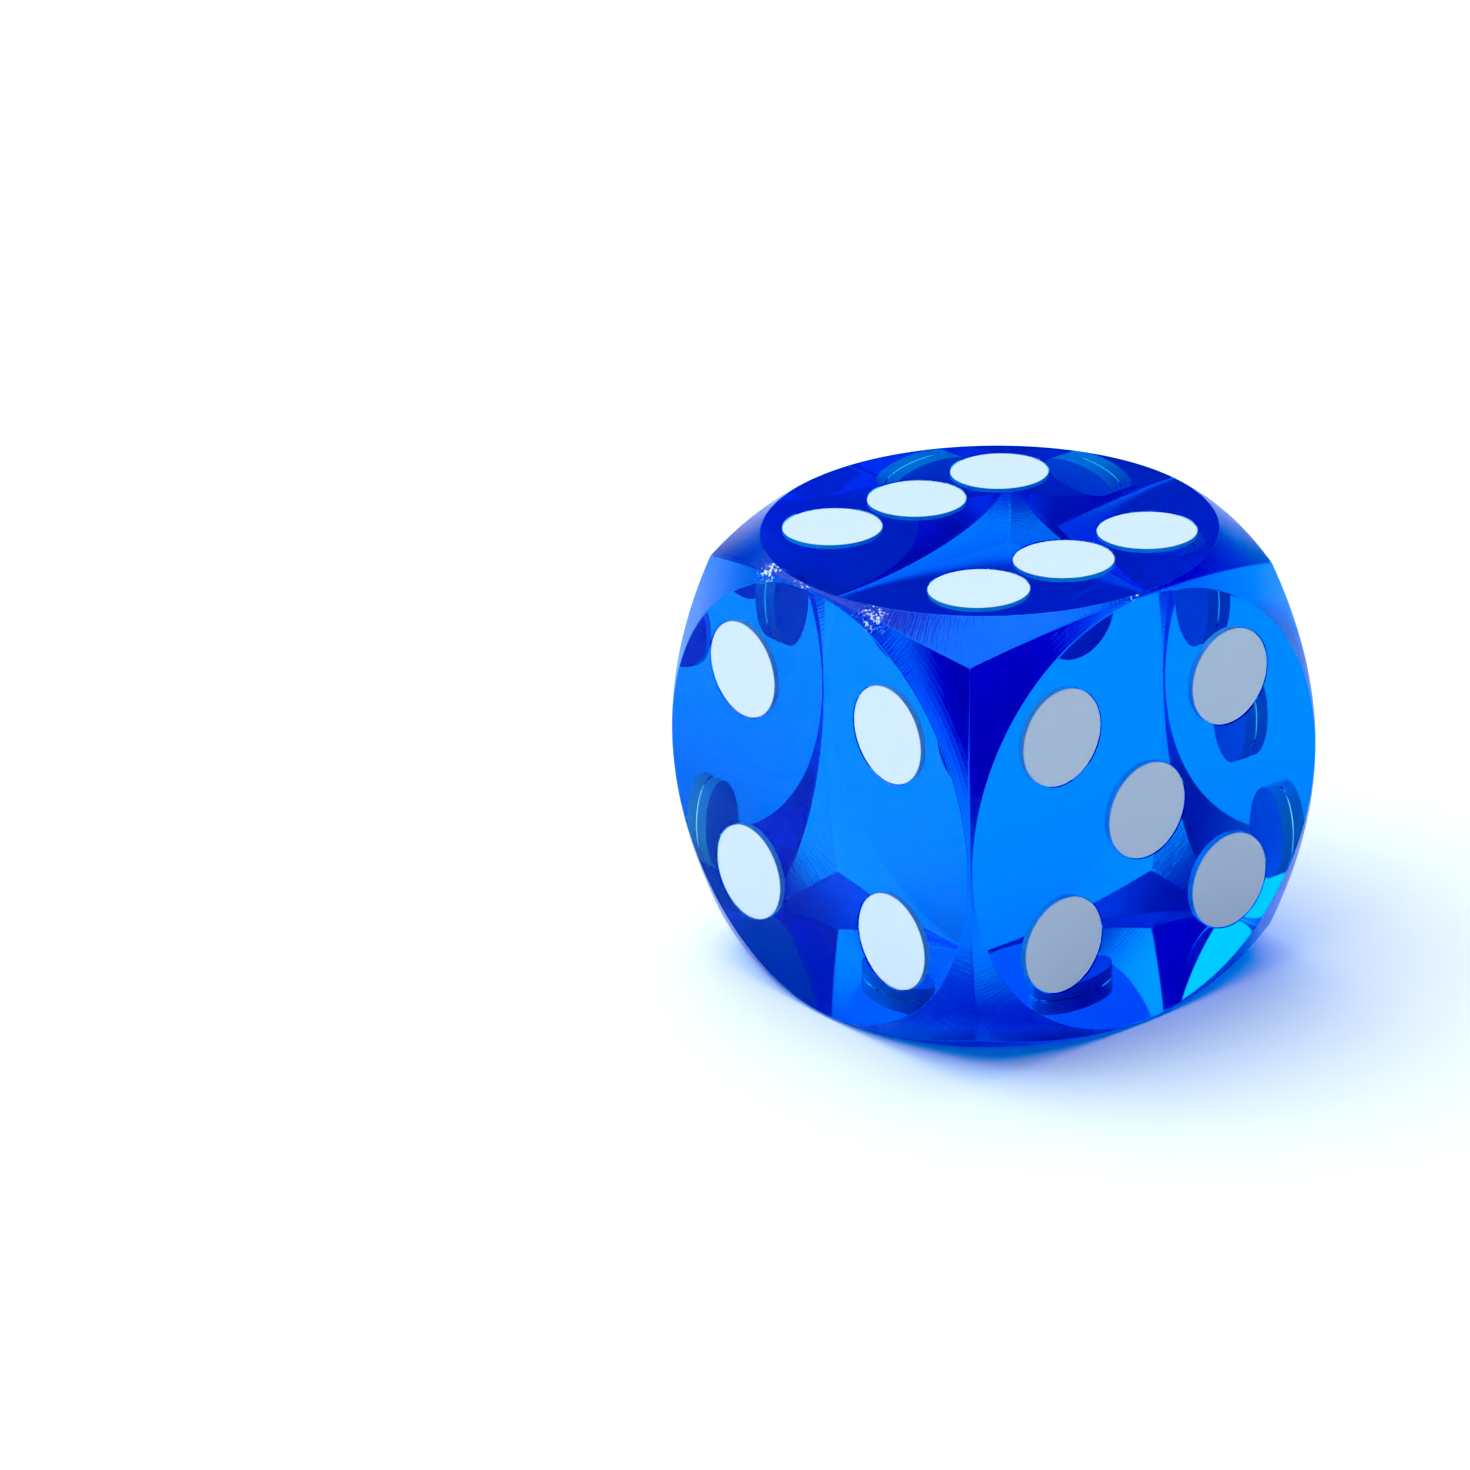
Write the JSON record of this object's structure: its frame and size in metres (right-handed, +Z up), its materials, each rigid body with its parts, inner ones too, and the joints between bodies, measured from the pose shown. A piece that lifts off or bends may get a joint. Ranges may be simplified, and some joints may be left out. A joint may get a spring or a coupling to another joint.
{
  "type": "ball-corner casino die",
  "caption": "See-through blue game cube with round flats, turned ridged corners and flush white pips on every face.",
  "frame": {"origin": "middle of the one-pip face, which the die stands on", "axes": "+Z up through the six-pip face, +X out of the five-pip face, -Y out of the four-pip face; the other three faces are opposite: 1 on -Z, 2 on -X, 3 on +Y"},
  "size_m": [0.019, 0.019, 0.019],
  "materials": {
    "clear_blue": "polished flats and finely turned corners, see-through",
    "white_pip": "smooth opaque white, satin"
  },
  "bodies": {
    "root": {"body": "clear_blue", "pip_1_1": "white_pip", "pip_2_1": "white_pip", "pip_2_2": "white_pip", "pip_3_1": "white_pip", "pip_3_2": "white_pip", "pip_3_3": "white_pip", "pip_4_1": "white_pip", "pip_4_2": "white_pip", "pip_4_3": "white_pip", "pip_4_4": "white_pip", "pip_5_1": "white_pip", "pip_5_2": "white_pip", "pip_5_3": "white_pip", "pip_5_4": "white_pip", "pip_5_5": "white_pip", "pip_6_1": "white_pip", "pip_6_2": "white_pip", "pip_6_3": "white_pip", "pip_6_4": "white_pip", "pip_6_5": "white_pip", "pip_6_6": "white_pip"}
  },
  "joints": []
}
